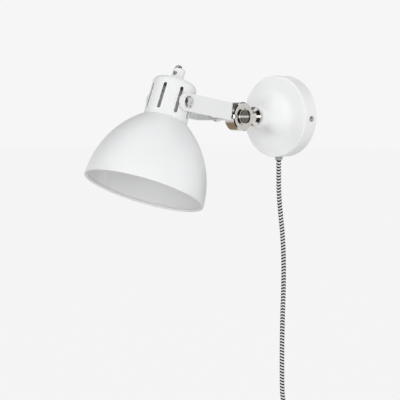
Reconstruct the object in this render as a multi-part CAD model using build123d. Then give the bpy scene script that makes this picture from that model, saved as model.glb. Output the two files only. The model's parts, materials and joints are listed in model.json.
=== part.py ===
from build123d import *
import math
import os

# Plug-in wall lamp. Millimetres, +Z up, wall plane at Y = 0, the lamp stands out towards -Y.
# Origin: centre of the wall cover, on the wall.

# Wall cover and bracket
COVER_D = 100.0  # outer diameter of the wall cover
RIM_DEPTH = 21.0  # depth of its rim
COVER_WALL = 1.2
RIM_EDGE = 1.4  # rounding between rim and face
NOSE_D = 27.0  # tip of the trumpet-shaped nose
NOSE_LENGTH = 13.7  # straight part of the nose
NOSE_EDGE = 2.5
FLARE_R = 20.0  # hollow curve between face and nose
BRACKET_WIDTH = 20.0
BRACKET_T = 2.0
BRACKET_TAB = 16.0  # how far the end tabs stand out from the wall
BRACKET_TONGUE = 28.0  # from the centre down to the end of the terminal tongue
WALL_HOLE_SPACING = 54.0
WALL_HOLE_D = 5.0
WALL_SLOT = 9.0  # overall length of each wall screw slot
COVER_SCREW_D = 4.0
COVER_SCREW_LENGTH = 9.0
COVER_SCREW_HEAD_D = 7.0
COVER_SCREW_HEAD_T = 2.4
COVER_SCREW_OUT = 10.0  # distance of the rim screws from the wall
COVER_SCREW_FALL = 3.4  # degrees of the rim screws below level

# Elbow joint
BARREL_D = 34.6
BARREL_WIDTH = 16.7
BARREL_BEVEL = 1.2
WALL_NECK = 23.1  # hinge axis to collar, wall side
ARM_NECK = 32.6  # hinge axis to collar, arm side
NECK_D = 12.4
NECK_FLARE_D = 16.2
NECK_FLARE = 9.0  # length over which the neck widens to the collar
COLLAR_D = 23.0
COLLAR_T = 7.4
COLLAR_FLARE = 3.4  # length over which the collar widens from the neck
COLLAR_EDGE = 2.4  # rounding where it seats
PIPE_D = 10.0  # threaded hollow pipe through collar and plate
PIPE_BORE = 7.2
PIPE_END = 2.0  # pipe beyond its nut
PIPE_NUT_AF = 14.0
PIPE_NUT_T = 5.0
PIPE_WASHER_D = 18.0
PIPE_WASHER_T = 1.0
CAVITY_D = 26.0  # wire space inside the two discs
CAVITY_DEPTH = 3.4
BOSS_D = 12.0  # post round the hinge screw
HINGE_SCREW_D = 6.0
HINGE_HEAD_D = 15.6
HINGE_HEAD_T = 2.6
HINGE_SLOT_W = 2.6
RECESS_D = 18.4
RECESS_DEPTH = 3.0
RIM_WALL = 1.1  # raised rim round each recess
RIM_PROUD = 2.3
HINGE_NUT_AF = 10.0
HINGE_NUT_T = 4.0
HINGE_WASHER_T = 1.0
LOCK_D = 5.2  # set screw in the face of the wall half, on the side of the arm
LOCK_GAP = 0.5  # between it and the rim
LOCK_IN = 3.6
LOCK_PROUD = 0.6
LOCK_KEY = 2.2  # across flats of its hexagon socket
SLOT_W = 1.6  # screwdriver slots
SLOT_DEPTH = 1.2

# Fork arm
ARM_RISE = 8.3  # degrees above level
ARM_LENGTH = 115.9  # hinge axis to shade pivot
STRIP_H = 20.5
STRIP_T = 2.0
STRIP_BEND = 4.0  # outer bend radius
FORK_TIP = 11.5  # strip beyond the pivot
PIVOT_SCREW_D = 6.0
PIVOT_HEAD_D = 13.4
PIVOT_HEAD_T = 3.6
PIVOT_HEAD_EDGE = 0.8
PIVOT_SPACER_D = 13.0
PIVOT_NUT_AF = 10.0
PIVOT_NUT_T = 4.5

# Cup and shade
SHADE_TILT = 22.5  # degrees of the lamp axis from plumb
CUP_D = 51.0
CUP_TOP = 24.3  # above the pivot
CUP_BOTTOM = 22.0  # below the pivot
CUP_WALL = 0.8
CUP_EDGE = 6.0
VENT_COUNT = 8
VENT_W = 4.0
VENT_LENGTH = 31.0
VENT_CENTRE = -1.0  # above the pivot
MOUTH_D = 138.0
SHADE_HEIGHT = 85.8  # cup to mouth
SHADE_WALL = 1.0
HEM_D = 2.8  # hem rolled inwards round the mouth
GRIP_D = 14.2
GRIP_H = 15.5
GRIP_BEVEL = 1.6
GRIP_MOUTH_D = 10.8  # bell mouth for the lead
GRIP_MOUTH_DEPTH = 5.2
GRIP_SOCKET = 5.0  # depth of the pipe in the grip
GRIP_SCREW_D = 3.0
GRIP_SCREW_HEAD_D = 4.6
GRIP_SCREW_HEAD_T = 1.8
GRIP_SCREW_UP = 8.5  # above the cup
GRIP_SCREW_TURN = 16.0  # degrees round the grip from straight ahead

# Lampholder
SOCKET_BORE_D = 26.2  # smooth bore that stands for the lamp thread
SOCKET_DEPTH = 36.0
SOCKET_SHELL_T = 0.7
HOLDER_SKIRT_D = 39.6
HOLDER_SKIRT_LENGTH = 23.0
HOLDER_FLANGE_D = 45.0
HOLDER_FLANGE_T = 2.5
HOLDER_BODY_D = 34.8
HOLDER_BODY_TOP = 5.5  # above the pivot
HOLDER_CAP_D = 31.0
HOLDER_CAP_H = 12.0
HOLDER_CAP_WALL = 2.0
NIPPLE_IN_CAP = 3.0
CONTACT_D = 9.0
CONTACT_T = 1.6
RING_D = 46.0
RING_H = 7.0

# Cords, wires and plug
CORD_D = 6.0
GLAND_D = 9.6
GLAND_H = 4.0
GLAND_NECK_D = 8.4
GLAND_EDGE = 1.0
GLAND_OUT = 12.0  # distance of the cord from the wall where it leaves the cover
GLAND_NUT_AF = 11.0
GLAND_NUT_T = 3.0
CLAMP_WIDTH = 17.0
CLAMP_T = 10.0
CLAMP_H = 6.5
CLAMP_SCREW_D = 2.5
CLAMP_SCREW_HEAD_T = 1.4
TAIL_END = 1.5  # sheath beyond the clamp
WIRE_D = 2.2
WIRE_PAIR = 2.8  # spacing of two wires side by side
BLOCK_WIDTH = 20.0
BLOCK_T = 12.0
BLOCK_H = 14.0
BLOCK_POLE = 9.0  # spacing of its two poles
BLOCK_BORE_D = 3.2
BLOCK_SCREW_D = 3.0
WIRE_IN_BLOCK = 5.0
LEAD_TURN_R = 9.0  # the lead's short turn in the grip's mouth
LEAD_RISE = 4.3  # the lead's highest run above the grip
LEAD_BACK = 31.7  # lamp axis to where the lead comes down behind the cup
CORD_BEND = 0.45  # share of a run that a bend may take up
WIRE_BEND = 0.35
WIRE_LEAVE = 0.3  # share of a wire's gap that it runs straight from the cord
WIRE_ARRIVE = 0.2  # and straight into its terminal
COIL_R = 45.5  # outermost turn
COIL_PITCH = 6.5  # turn to turn and layer to layer
COIL_HALF_TURNS = 6  # spiralling in
COIL_ENTRY = 45.0  # degrees above level where the cord joins the coil
COIL_WALL_GAP = 2.0
PLUG_TAIL = 22.0  # straight cord from the coil to the plug
TIE_W = 8.0
TIE_T = 1.2
TIE_EDGE = 2.0
RELIEF_LENGTH = 32.0
RELIEF_TOP_D = 8.0
RELIEF_D = 11.5
RELIEF_RIBS = 5
RIB_DEPTH = 0.8
PLUG_WIDTH = 35.3
PLUG_T = 13.7
PLUG_H = 36.0
PLUG_SHOULDER = 13.0  # height of the sloping shoulders
PLUG_TOP_WIDTH = 16.0
PLUG_EDGE = 2.5
PIN_D = 4.0
PIN_LENGTH = 19.0
PIN_SPACING = 18.6
PIN_ROOT = 8.0
PIN_NECK = 10.0  # thinner insulated length next to the plug
PIN_NECK_D = 3.8

# Clearances
SEAT = 0.05  # round pieces seated in one another
RUN = 0.08  # radial running fit
SLIP = 0.10  # flat faces that turn on each other
LAP = 0.50  # neck past the other disc's rim
SNUG = 0.30  # tie round the coil
FORK_GAP = 0.60  # cup to fork, filled by the pivot spacers


def frame_point(frame, point):
    """A point given in a local frame, as a point of the whole lamp."""
    return (frame * Pos(*point)).position


def turned(*outline):
    """Solid of revolution about Z from (radius, height) corners."""
    corners = [(radius, 0, height) for radius, height in outline]
    return revolve(make_face(Polyline(*corners, close=True)), Axis.Z)


def round_bar(diameter, start, end):
    """Cylinder on Z from one height to another."""
    upright = (Align.CENTER, Align.CENTER, Align.MIN)
    return Pos(0, 0, start) * Cylinder(diameter / 2, end - start, align=upright)


def ring(bore, diameter, start, end):
    """Plain ring on Z."""
    return round_bar(diameter, start, end) - round_bar(bore, start, end)


def hex_nut(across_flats, bore, start, end):
    """Hexagonal nut on Z."""
    hexagon = Pos(0, 0, start) * RegularPolygon(across_flats / 2, 6, major_radius=False)
    return extrude(hexagon, end - start) - round_bar(bore, start, end)


def slotted_head(diameter, start, end, bevel, slot_w=SLOT_W):
    """Screw head on Z with a bevelled top edge and a screwdriver slot along Y."""
    r = diameter / 2
    blank = turned((0, start), (r, start), (r, end - bevel), (r - bevel, end), (0, end))
    slot = Pos(0, 0, end) * Box(slot_w, 2 * diameter, 2 * SLOT_DEPTH)
    return blank - slot


def tube(points, radii, diameter):
    """Round solid along straight runs and tangent arcs."""
    path = FilletPolyline(*points, radius=radii)
    section = Plane(path @ 0, z_dir=path % 0) * Circle(diameter / 2)
    return sweep(section, path), path.length


def route_radii(points, share):
    """The largest arc radius that each corner of a route leaves room for."""
    radii = []
    for before, corner, after in zip(points, points[1:], points[2:]):
        first = Vector(*corner) - Vector(*before)
        second = Vector(*after) - Vector(*corner)
        half_turn = math.radians(first.get_angle(second)) / 2
        radii.append(share * min(first.length, second.length) / math.tan(half_turn))
    return radii


def both_sides(piece):
    """A piece on +X and its mirror image on -X."""
    return [piece, mirror(piece, Plane.YZ)]


def group(pieces):
    """Separate solids that share one node."""
    return Compound(children=pieces)


# Frames: in WALL and ARM local Z points outwards along the lamp and local Y up, in NECK local Z points
# back to the wall, in HEAD local Z is the lamp axis. TO_SIDE turns local Z to +X.
WALL = Rot(90, 0, 0)
NOSE_REACH = RIM_DEPTH + FLARE_R + NOSE_LENGTH
HINGE_REACH = NOSE_REACH + SLIP + COLLAR_T + WALL_NECK
NECK = Pos(0, -HINGE_REACH, 0) * Rot(-90, 0, 0)
ARM = Pos(0, -HINGE_REACH, 0) * Rot(90 - ARM_RISE, 0, 0)
HEAD = ARM * Pos(0, 0, ARM_LENGTH) * Rot(ARM_RISE - SHADE_TILT - 90, 0, 0)
TO_SIDE = Rot(0, 90, 0)
RIM_SCREW = Rot(0, COVER_SCREW_FALL, 0) * Pos(0, -COVER_SCREW_OUT, 0) * TO_SIDE

COVER_R = COVER_D / 2
COVER_IN_R = COVER_R - COVER_WALL
PIPE_HOLE_D = PIPE_D + 2 * SEAT
HALF_BARREL = BARREL_WIDTH / 2
RIM_R = RECESS_D / 2 + RIM_WALL
RIM_FACE = HALF_BARREL + RIM_PROUD
LAP_FACE = SLIP / 2
WEB_FACE = ARM_NECK + COLLAR_T
CUP_R = CUP_D / 2
PLATE_IN = CUP_R + FORK_GAP
PLATE_OUT = PLATE_IN + STRIP_T
FORK_WIDTH = 2 * PLATE_OUT
CUP_IN_R = CUP_R - CUP_WALL
MOUTH_Z = -CUP_BOTTOM - SHADE_HEIGHT
parts = {}


# Wall cover
def rim_screw_holes():
    return both_sides(RIM_SCREW * round_bar(COVER_SCREW_D + 2 * SEAT, 0, COVER_D))


def make_cover():
    nose_r = NOSE_D / 2
    flare_x = nose_r + FLARE_R
    flare_z = RIM_DEPTH + FLARE_R
    diagonal = math.sqrt(0.5)
    tip_hole = PIPE_D / 2 + RUN
    outer_mid = (flare_x - FLARE_R * diagonal, 0, flare_z - FLARE_R * diagonal)
    inner_r = FLARE_R + COVER_WALL
    inner_mid = (flare_x - inner_r * diagonal, 0, flare_z - inner_r * diagonal)
    rim_mid = (COVER_R - RIM_EDGE * (1 - diagonal), 0, RIM_DEPTH - RIM_EDGE * (1 - diagonal))
    tip_mid = (nose_r - NOSE_EDGE * (1 - diagonal), 0, NOSE_REACH - NOSE_EDGE * (1 - diagonal))
    nose_inside = (nose_r - COVER_WALL, 0, NOSE_REACH - NOSE_EDGE)
    outline = [
        Line((COVER_R, 0, 0), (COVER_R, 0, RIM_DEPTH - RIM_EDGE)),
        ThreePointArc((COVER_R, 0, RIM_DEPTH - RIM_EDGE), rim_mid, (COVER_R - RIM_EDGE, 0, RIM_DEPTH)),
        Line((COVER_R - RIM_EDGE, 0, RIM_DEPTH), (flare_x, 0, RIM_DEPTH)),
        ThreePointArc((flare_x, 0, RIM_DEPTH), outer_mid, (nose_r, 0, flare_z)),
        Line((nose_r, 0, flare_z), (nose_r, 0, NOSE_REACH - NOSE_EDGE)),
        ThreePointArc((nose_r, 0, NOSE_REACH - NOSE_EDGE), tip_mid, (nose_r - NOSE_EDGE, 0, NOSE_REACH)),
        Line((nose_r - NOSE_EDGE, 0, NOSE_REACH), (tip_hole, 0, NOSE_REACH)),
        Line((tip_hole, 0, NOSE_REACH), (tip_hole, 0, NOSE_REACH - COVER_WALL)),
        Line((tip_hole, 0, NOSE_REACH - COVER_WALL), (nose_r - NOSE_EDGE, 0, NOSE_REACH - COVER_WALL)),
        Line((nose_r - NOSE_EDGE, 0, NOSE_REACH - COVER_WALL), nose_inside),
        Line(nose_inside, (nose_r - COVER_WALL, 0, flare_z)),
        ThreePointArc((nose_r - COVER_WALL, 0, flare_z), inner_mid, (flare_x, 0, RIM_DEPTH - COVER_WALL)),
        Line((flare_x, 0, RIM_DEPTH - COVER_WALL), (COVER_IN_R, 0, RIM_DEPTH - COVER_WALL)),
        Line((COVER_IN_R, 0, RIM_DEPTH - COVER_WALL), (COVER_IN_R, 0, 0)),
        Line((COVER_IN_R, 0, 0), (COVER_R, 0, 0)),
    ]
    cover = WALL * revolve(make_face(outline), Axis.Z)
    gland_hole = Pos(0, -GLAND_OUT, 0) * round_bar(GLAND_NECK_D + 2 * SEAT, -COVER_D, 0)
    return cover - rim_screw_holes() - gland_hole


# Steel strap on the wall: end tabs take the rim screws, a tongue carries the terminal block
TAB_FACE = math.sqrt(COVER_IN_R**2 - (BRACKET_WIDTH / 2) ** 2) - SEAT


def make_bracket():
    flat = (Align.CENTER, Align.MAX, Align.CENTER)
    hung = (Align.CENTER, Align.MAX, Align.MAX)
    ended = (Align.MAX, Align.MAX, Align.CENTER)
    bar = Box(2 * TAB_FACE, BRACKET_T, BRACKET_WIDTH, align=flat)
    tongue = Box(BRACKET_WIDTH, BRACKET_T, BRACKET_TONGUE, align=hung)
    tab = Pos(TAB_FACE, 0, 0) * Box(BRACKET_T, BRACKET_TAB, BRACKET_WIDTH, align=ended)
    bracket = bar + tongue + both_sides(tab)
    slot = WALL * extrude(SlotOverall(WALL_SLOT, WALL_HOLE_D), BRACKET_T)
    for side in (-1, 1):
        bracket -= Pos(side * WALL_HOLE_SPACING / 2, 0, 0) * slot
    return bracket - rim_screw_holes()


def make_cover_screws():
    head = slotted_head(COVER_SCREW_HEAD_D, COVER_R, COVER_R + COVER_SCREW_HEAD_T, COVER_SCREW_HEAD_T / 2)
    shank = round_bar(COVER_SCREW_D, COVER_R - COVER_SCREW_LENGTH, COVER_R)
    return group(both_sides(RIM_SCREW * (head + shank)))


parts["canopy_cover"] = make_cover()
parts["wall_bracket"] = make_bracket()
parts["cover_screws"] = make_cover_screws()


# Cord entry: bush under the rim, nut inside, clamp on the sheath
GLAND_TOP = -COVER_R
GLAND_BOTTOM = GLAND_TOP - GLAND_H
GLAND_NUT_LOW = -math.sqrt(COVER_IN_R**2 - (GLAND_NUT_AF / math.sqrt(3)) ** 2) + SEAT
GLAND_NUT_HIGH = GLAND_NUT_LOW + GLAND_NUT_T
CLAMP_HIGH = GLAND_NUT_HIGH + CLAMP_H
TAIL_HIGH = CLAMP_HIGH + TAIL_END
CORD_EXIT = Pos(0, -GLAND_OUT, 0)
CORD_BORE = CORD_D + 2 * SEAT

bush = turned(
    (0, GLAND_BOTTOM),
    (GLAND_D / 2 - GLAND_EDGE, GLAND_BOTTOM),
    (GLAND_D / 2, GLAND_BOTTOM + GLAND_EDGE),
    (GLAND_D / 2, GLAND_TOP),
    (GLAND_NECK_D / 2, GLAND_TOP),
    (GLAND_NECK_D / 2, GLAND_NUT_HIGH),
    (0, GLAND_NUT_HIGH),
)
parts["cord_gland"] = CORD_EXIT * (bush - round_bar(CORD_BORE, GLAND_BOTTOM, GLAND_NUT_HIGH))
gland_bore = GLAND_NECK_D + 2 * SEAT
parts["gland_nut"] = CORD_EXIT * hex_nut(GLAND_NUT_AF, gland_bore, GLAND_NUT_LOW, GLAND_NUT_HIGH)
parts["cord_tail"] = CORD_EXIT * round_bar(CORD_D, GLAND_BOTTOM, TAIL_HIGH)

clamp_block = Pos(0, 0, GLAND_NUT_HIGH) * Box(
    CLAMP_WIDTH, CLAMP_T, CLAMP_H, align=(Align.CENTER, Align.CENTER, Align.MIN)
)
clamp_block -= round_bar(CORD_BORE, GLAND_NUT_HIGH, CLAMP_HIGH)
clamp_screw_x = (CORD_D + CLAMP_WIDTH) / 4
clamp_screw_hole = Rot(90, 0, 0) * round_bar(CLAMP_SCREW_D + 2 * SEAT, -CLAMP_T, CLAMP_T)
clamp_mid = (GLAND_NUT_HIGH + CLAMP_HIGH) / 2
clamp_screw = slotted_head(
    2 * CLAMP_SCREW_D, CLAMP_T / 2, CLAMP_T / 2 + CLAMP_SCREW_HEAD_T, CLAMP_SCREW_HEAD_T / 2
) + round_bar(CLAMP_SCREW_D, -CLAMP_T / 2, CLAMP_T / 2)
clamp_screws = []
for side in (-1, 1):
    place = Pos(side * clamp_screw_x, 0, clamp_mid)
    clamp_block -= place * clamp_screw_hole
    clamp_screws.append(CORD_EXIT * place * Rot(90, 0, 0) * clamp_screw)
parts["cord_clamp"] = CORD_EXIT * clamp_block
parts["clamp_screws"] = group(clamp_screws)


# Terminal block on the bracket's tongue, and the wires below and above it
BLOCK_LOW = -BRACKET_TONGUE
BLOCK_HIGH = BLOCK_LOW + BLOCK_H
BLOCK_MID_OUT = BRACKET_T + BLOCK_T / 2
BLOCK_FRONT = BRACKET_T + BLOCK_T
block = Pos(0, -BRACKET_T, BLOCK_LOW) * Box(
    BLOCK_WIDTH, BLOCK_T, BLOCK_H, align=(Align.CENTER, Align.MAX, Align.MIN)
)
BLOCK_SCREW_IN = BLOCK_T / 2 - BLOCK_BORE_D / 2
BLOCK_SCREW_STEP = BLOCK_H / 4
block_screws = []
for side in (-1, 1):
    pole_x = side * BLOCK_POLE / 2
    block -= Pos(pole_x, -BLOCK_MID_OUT, 0) * round_bar(BLOCK_BORE_D, BLOCK_LOW, BLOCK_HIGH)
    for level in (-1, 1):
        place = Pos(pole_x, -BLOCK_FRONT, (BLOCK_LOW + BLOCK_HIGH) / 2 + level * BLOCK_SCREW_STEP) * WALL
        block -= place * round_bar(BLOCK_SCREW_D + 2 * SEAT, -BLOCK_SCREW_IN, 0)
        block_screws.append(place * slotted_head(BLOCK_SCREW_D, -BLOCK_SCREW_IN, 0, SEAT))
parts["terminal_block"] = block
parts["terminal_screws"] = group(block_screws)


def wire_pair(routes):
    """Two wires, one along each route."""
    wires = []
    for route in routes:
        wires.append(tube(route, route_radii(route, WIRE_BEND), WIRE_D)[0])
    return group(wires)


mains_routes = []
base_routes = []
PIPE_TAIL = WALL_NECK + COLLAR_T + SLIP + COVER_WALL + SLIP + PIPE_WASHER_T + PIPE_NUT_T + PIPE_END
PIPE_TAIL_OUT = HINGE_REACH - PIPE_TAIL
WIRE_MEET = PIPE_TAIL_OUT + PIPE_END  # where the cover's wires meet those of the joint
for side in (-1, 1):
    near = side * WIRE_PAIR / 2
    pole = side * BLOCK_POLE / 2
    rise = BLOCK_LOW - TAIL_HIGH
    mains_routes.append(
        [
            (near, -GLAND_OUT, TAIL_HIGH),
            (near, -GLAND_OUT, TAIL_HIGH + rise * WIRE_LEAVE),
            (pole, -BLOCK_MID_OUT, BLOCK_LOW - rise * WIRE_ARRIVE),
            (pole, -BLOCK_MID_OUT, BLOCK_LOW + WIRE_IN_BLOCK),
        ]
    )
    base_routes.append(
        [
            (pole, -BLOCK_MID_OUT, BLOCK_HIGH - WIRE_IN_BLOCK),
            (pole, -BLOCK_MID_OUT, BLOCK_HIGH / 2),
            (near, -(BLOCK_MID_OUT + PIPE_TAIL_OUT) / 2, 0),
            (near, -WIRE_MEET, 0),
        ]
    )
parts["mains_wires"] = wire_pair(mains_routes)
parts["base_wires"] = wire_pair(base_routes)


# Elbow joint. Each half is a disc with a wire space, a neck and a threaded pipe, on its own side of the lap.
def make_knuckle_half(neck_length, pipe_length):
    """The half on +X, with its neck along local Z from the hinge axis."""
    barrel_r = BARREL_D / 2
    rim_edge = RIM_WALL / 3
    disc = TO_SIDE * turned(
        (0, LAP_FACE),
        (barrel_r, LAP_FACE),
        (barrel_r, HALF_BARREL - BARREL_BEVEL),
        (barrel_r - BARREL_BEVEL, HALF_BARREL),
        (RIM_R, HALF_BARREL),
        (RIM_R, RIM_FACE - rim_edge),
        (RIM_R - rim_edge, RIM_FACE),
        (0, RIM_FACE),
    )
    neck = turned(
        (0, CAVITY_D / 2),
        (NECK_D / 2, CAVITY_D / 2),
        (NECK_D / 2, neck_length - NECK_FLARE),
        (NECK_FLARE_D / 2, neck_length),
        (PIPE_D / 2, neck_length),
        (PIPE_D / 2, pipe_length),
        (0, pipe_length),
    )
    other_disc = TO_SIDE * round_bar(BARREL_D + 2 * LAP, -BARREL_WIDTH, LAP_FACE)
    half = disc + (neck - other_disc)
    cavity = TO_SIDE * ring(BOSS_D, CAVITY_D, LAP_FACE, LAP_FACE + CAVITY_DEPTH)
    recess = TO_SIDE * round_bar(RECESS_D, RIM_FACE - RECESS_DEPTH, RIM_FACE)
    return half - cavity - recess - round_bar(PIPE_BORE, CAVITY_D / 2 - PIPE_BORE / 2, pipe_length)


arm_pipe = WEB_FACE + STRIP_T + PIPE_WASHER_T + PIPE_NUT_T + PIPE_END
wall_half = make_knuckle_half(WALL_NECK, PIPE_TAIL)
wall_half -= TO_SIDE * round_bar(HINGE_SCREW_D + 2 * SEAT, 0, HALF_BARREL)
lock_place = TO_SIDE * Pos(RIM_R + LOCK_GAP + LOCK_D / 2, 0, HALF_BARREL)
wall_half -= lock_place * round_bar(LOCK_D + 2 * SEAT, -LOCK_IN, LOCK_PROUD)
parts["knuckle_wall_half"] = NECK * wall_half
lock_r = LOCK_D / 2
lock_screw = turned(
    (0, -LOCK_IN), (lock_r, -LOCK_IN), (lock_r, 0), (lock_r - LOCK_PROUD, LOCK_PROUD), (0, LOCK_PROUD)
)
lock_socket = Pos(0, 0, -LOCK_IN / 2) * RegularPolygon(LOCK_KEY / 2, 6, major_radius=False)
parts["lock_screw"] = NECK * lock_place * (lock_screw - extrude(lock_socket, LOCK_IN))
arm_half = mirror(make_knuckle_half(ARM_NECK, arm_pipe), Plane.YZ)
arm_half -= TO_SIDE * round_bar(HINGE_SCREW_D + 2 * RUN, -HALF_BARREL, 0)
parts["knuckle_arm_half"] = ARM * arm_half


def make_collar(start, end):
    """Ring on Z that widens on from the neck, with a rounded edge where it seats."""
    blank = turned(
        (0, start),
        (NECK_FLARE_D / 2, start),
        (COLLAR_D / 2, start + COLLAR_FLARE),
        (COLLAR_D / 2, end),
        (0, end),
    )
    seat_edge = blank.edges().filter_by(GeomType.CIRCLE).sort_by(Axis.Z)[-1]
    return fillet(seat_edge, COLLAR_EDGE) - round_bar(PIPE_HOLE_D, start, end)


collar_end = WALL_NECK + COLLAR_T
parts["wall_collar"] = NECK * make_collar(WALL_NECK, collar_end)
parts["arm_collar"] = ARM * make_collar(ARM_NECK, WEB_FACE)

washer_z = collar_end + SLIP + COVER_WALL + SLIP
nut_z = washer_z + PIPE_WASHER_T
parts["neck_washer"] = NECK * ring(PIPE_HOLE_D, PIPE_WASHER_D, washer_z, nut_z)
parts["neck_nut"] = NECK * hex_nut(PIPE_NUT_AF, PIPE_HOLE_D, nut_z, nut_z + PIPE_NUT_T)

washer_z = WEB_FACE + STRIP_T
nut_z = washer_z + PIPE_WASHER_T
parts["web_washer"] = ARM * ring(PIPE_HOLE_D, PIPE_WASHER_D, washer_z, nut_z)
parts["web_nut"] = ARM * hex_nut(PIPE_NUT_AF, PIPE_HOLE_D, nut_z, nut_z + PIPE_NUT_T)

# Hinge screw: its head sits in the wall half, a washer and nut hold the arm half on the far side
seat_x = RIM_FACE - RECESS_DEPTH
washer_x = seat_x + SLIP
nut_x = washer_x + HINGE_WASHER_T
hinge_end = nut_x + HINGE_NUT_T
hinge_screw = slotted_head(HINGE_HEAD_D, seat_x, seat_x + HINGE_HEAD_T, HINGE_HEAD_T / 4, HINGE_SLOT_W)
hinge_screw += round_bar(HINGE_SCREW_D, -hinge_end, seat_x)
parts["knuckle_screw"] = NECK * TO_SIDE * Rot(0, 0, 90) * hinge_screw
hinge_bore = HINGE_SCREW_D + 2 * SEAT
parts["knuckle_washer"] = NECK * TO_SIDE * ring(hinge_bore, HINGE_HEAD_D, -nut_x, -washer_x)
parts["knuckle_nut"] = NECK * TO_SIDE * hex_nut(HINGE_NUT_AF, hinge_bore, -hinge_end, -nut_x)


# Fork: flat strip bent into a U with rounded ends
def make_fork():
    tip = ARM_LENGTH + FORK_TIP
    length = tip - WEB_FACE
    low = (Align.CENTER, Align.CENTER, Align.MIN)
    blank = Pos(0, 0, WEB_FACE) * Box(FORK_WIDTH, STRIP_H, length, align=low)
    corners = blank.edges().filter_by(Axis.Y).group_by(Axis.Z)[0]
    blank = fillet(corners, STRIP_BEND)
    room = Pos(0, 0, WEB_FACE + STRIP_T) * Box(2 * PLATE_IN, STRIP_H, length, align=low)
    room_corners = room.edges().filter_by(Axis.Y).group_by(Axis.Z)[0]
    room = fillet(room_corners, STRIP_BEND - STRIP_T)
    end_r = STRIP_H / 2
    side_view = Pos(0, 0, WEB_FACE) * Box(FORK_WIDTH, STRIP_H, length - end_r, align=low)
    side_view += Pos(0, 0, tip - end_r) * TO_SIDE * round_bar(STRIP_H, -PLATE_OUT, PLATE_OUT)
    pivot_hole = Pos(0, 0, ARM_LENGTH) * TO_SIDE * round_bar(PIVOT_SCREW_D + 2 * RUN, -PLATE_OUT, PLATE_OUT)
    web_hole = round_bar(PIPE_HOLE_D, WEB_FACE, WEB_FACE + STRIP_T)
    return ((blank - room) & side_view) - pivot_hole - web_hole


parts["fork_arm"] = ARM * make_fork()


# Vented cup
def make_cup():
    diagonal = math.sqrt(0.5)
    inner_edge = CUP_EDGE - CUP_WALL
    bend = CUP_R - CUP_EDGE
    outer_mid = (bend + CUP_EDGE * diagonal, 0, CUP_TOP - CUP_EDGE + CUP_EDGE * diagonal)
    inner_mid = (bend + inner_edge * diagonal, 0, CUP_TOP - CUP_EDGE + inner_edge * diagonal)
    hole = PIPE_HOLE_D / 2
    outline = [
        Line((CUP_IN_R, 0, -CUP_BOTTOM), (CUP_R, 0, -CUP_BOTTOM)),
        Line((CUP_R, 0, -CUP_BOTTOM), (CUP_R, 0, CUP_TOP - CUP_EDGE)),
        ThreePointArc((CUP_R, 0, CUP_TOP - CUP_EDGE), outer_mid, (bend, 0, CUP_TOP)),
        Line((bend, 0, CUP_TOP), (hole, 0, CUP_TOP)),
        Line((hole, 0, CUP_TOP), (hole, 0, CUP_TOP - CUP_WALL)),
        Line((hole, 0, CUP_TOP - CUP_WALL), (bend, 0, CUP_TOP - CUP_WALL)),
        ThreePointArc((bend, 0, CUP_TOP - CUP_WALL), inner_mid, (CUP_IN_R, 0, CUP_TOP - CUP_EDGE)),
        Line((CUP_IN_R, 0, CUP_TOP - CUP_EDGE), (CUP_IN_R, 0, -CUP_BOTTOM)),
    ]
    cup = revolve(make_face(outline), Axis.Z)
    vent = Plane.YZ * SlotOverall(VENT_LENGTH, VENT_W, rotation=90)
    vent = Pos(0, 0, VENT_CENTRE) * extrude(vent, CUP_D)
    for k in range(VENT_COUNT):
        cup -= Rot(0, 0, (k + 0.5) * 360 / VENT_COUNT) * vent
    return cup - TO_SIDE * round_bar(PIVOT_SCREW_D + 2 * SEAT, -CUP_D, CUP_D)


parts["lamp_cup"] = HEAD * make_cup()

# Shade pivots: screw through the fork plate and a saddle spacer into a nut inside the cup
nut_out = math.sqrt(CUP_IN_R**2 - (PIVOT_NUT_AF / math.sqrt(3)) ** 2) - SEAT
nut_in = nut_out - PIVOT_NUT_T
head_x = PLATE_OUT + SLIP
screw = round_bar(PIVOT_HEAD_D, head_x, head_x + PIVOT_HEAD_T)
screw = fillet(screw.edges().filter_by(GeomType.CIRCLE).sort_by(Axis.Z)[-1], PIVOT_HEAD_EDGE)
screw += round_bar(PIVOT_SCREW_D, nut_in, head_x)
pivot_bore = PIVOT_SCREW_D + 2 * SEAT
saddle = TO_SIDE * ring(pivot_bore, PIVOT_SPACER_D, CUP_IN_R, PLATE_IN - SLIP)
saddle -= round_bar(CUP_D + 2 * SEAT, -PIVOT_SPACER_D, PIVOT_SPACER_D)
nut = hex_nut(PIVOT_NUT_AF, pivot_bore, nut_in, nut_out)
parts["pivot_screws"] = HEAD * group(both_sides(TO_SIDE * screw))
parts["pivot_spacers"] = HEAD * group(both_sides(saddle))
parts["pivot_nuts"] = HEAD * group(both_sides(TO_SIDE * nut))


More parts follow.
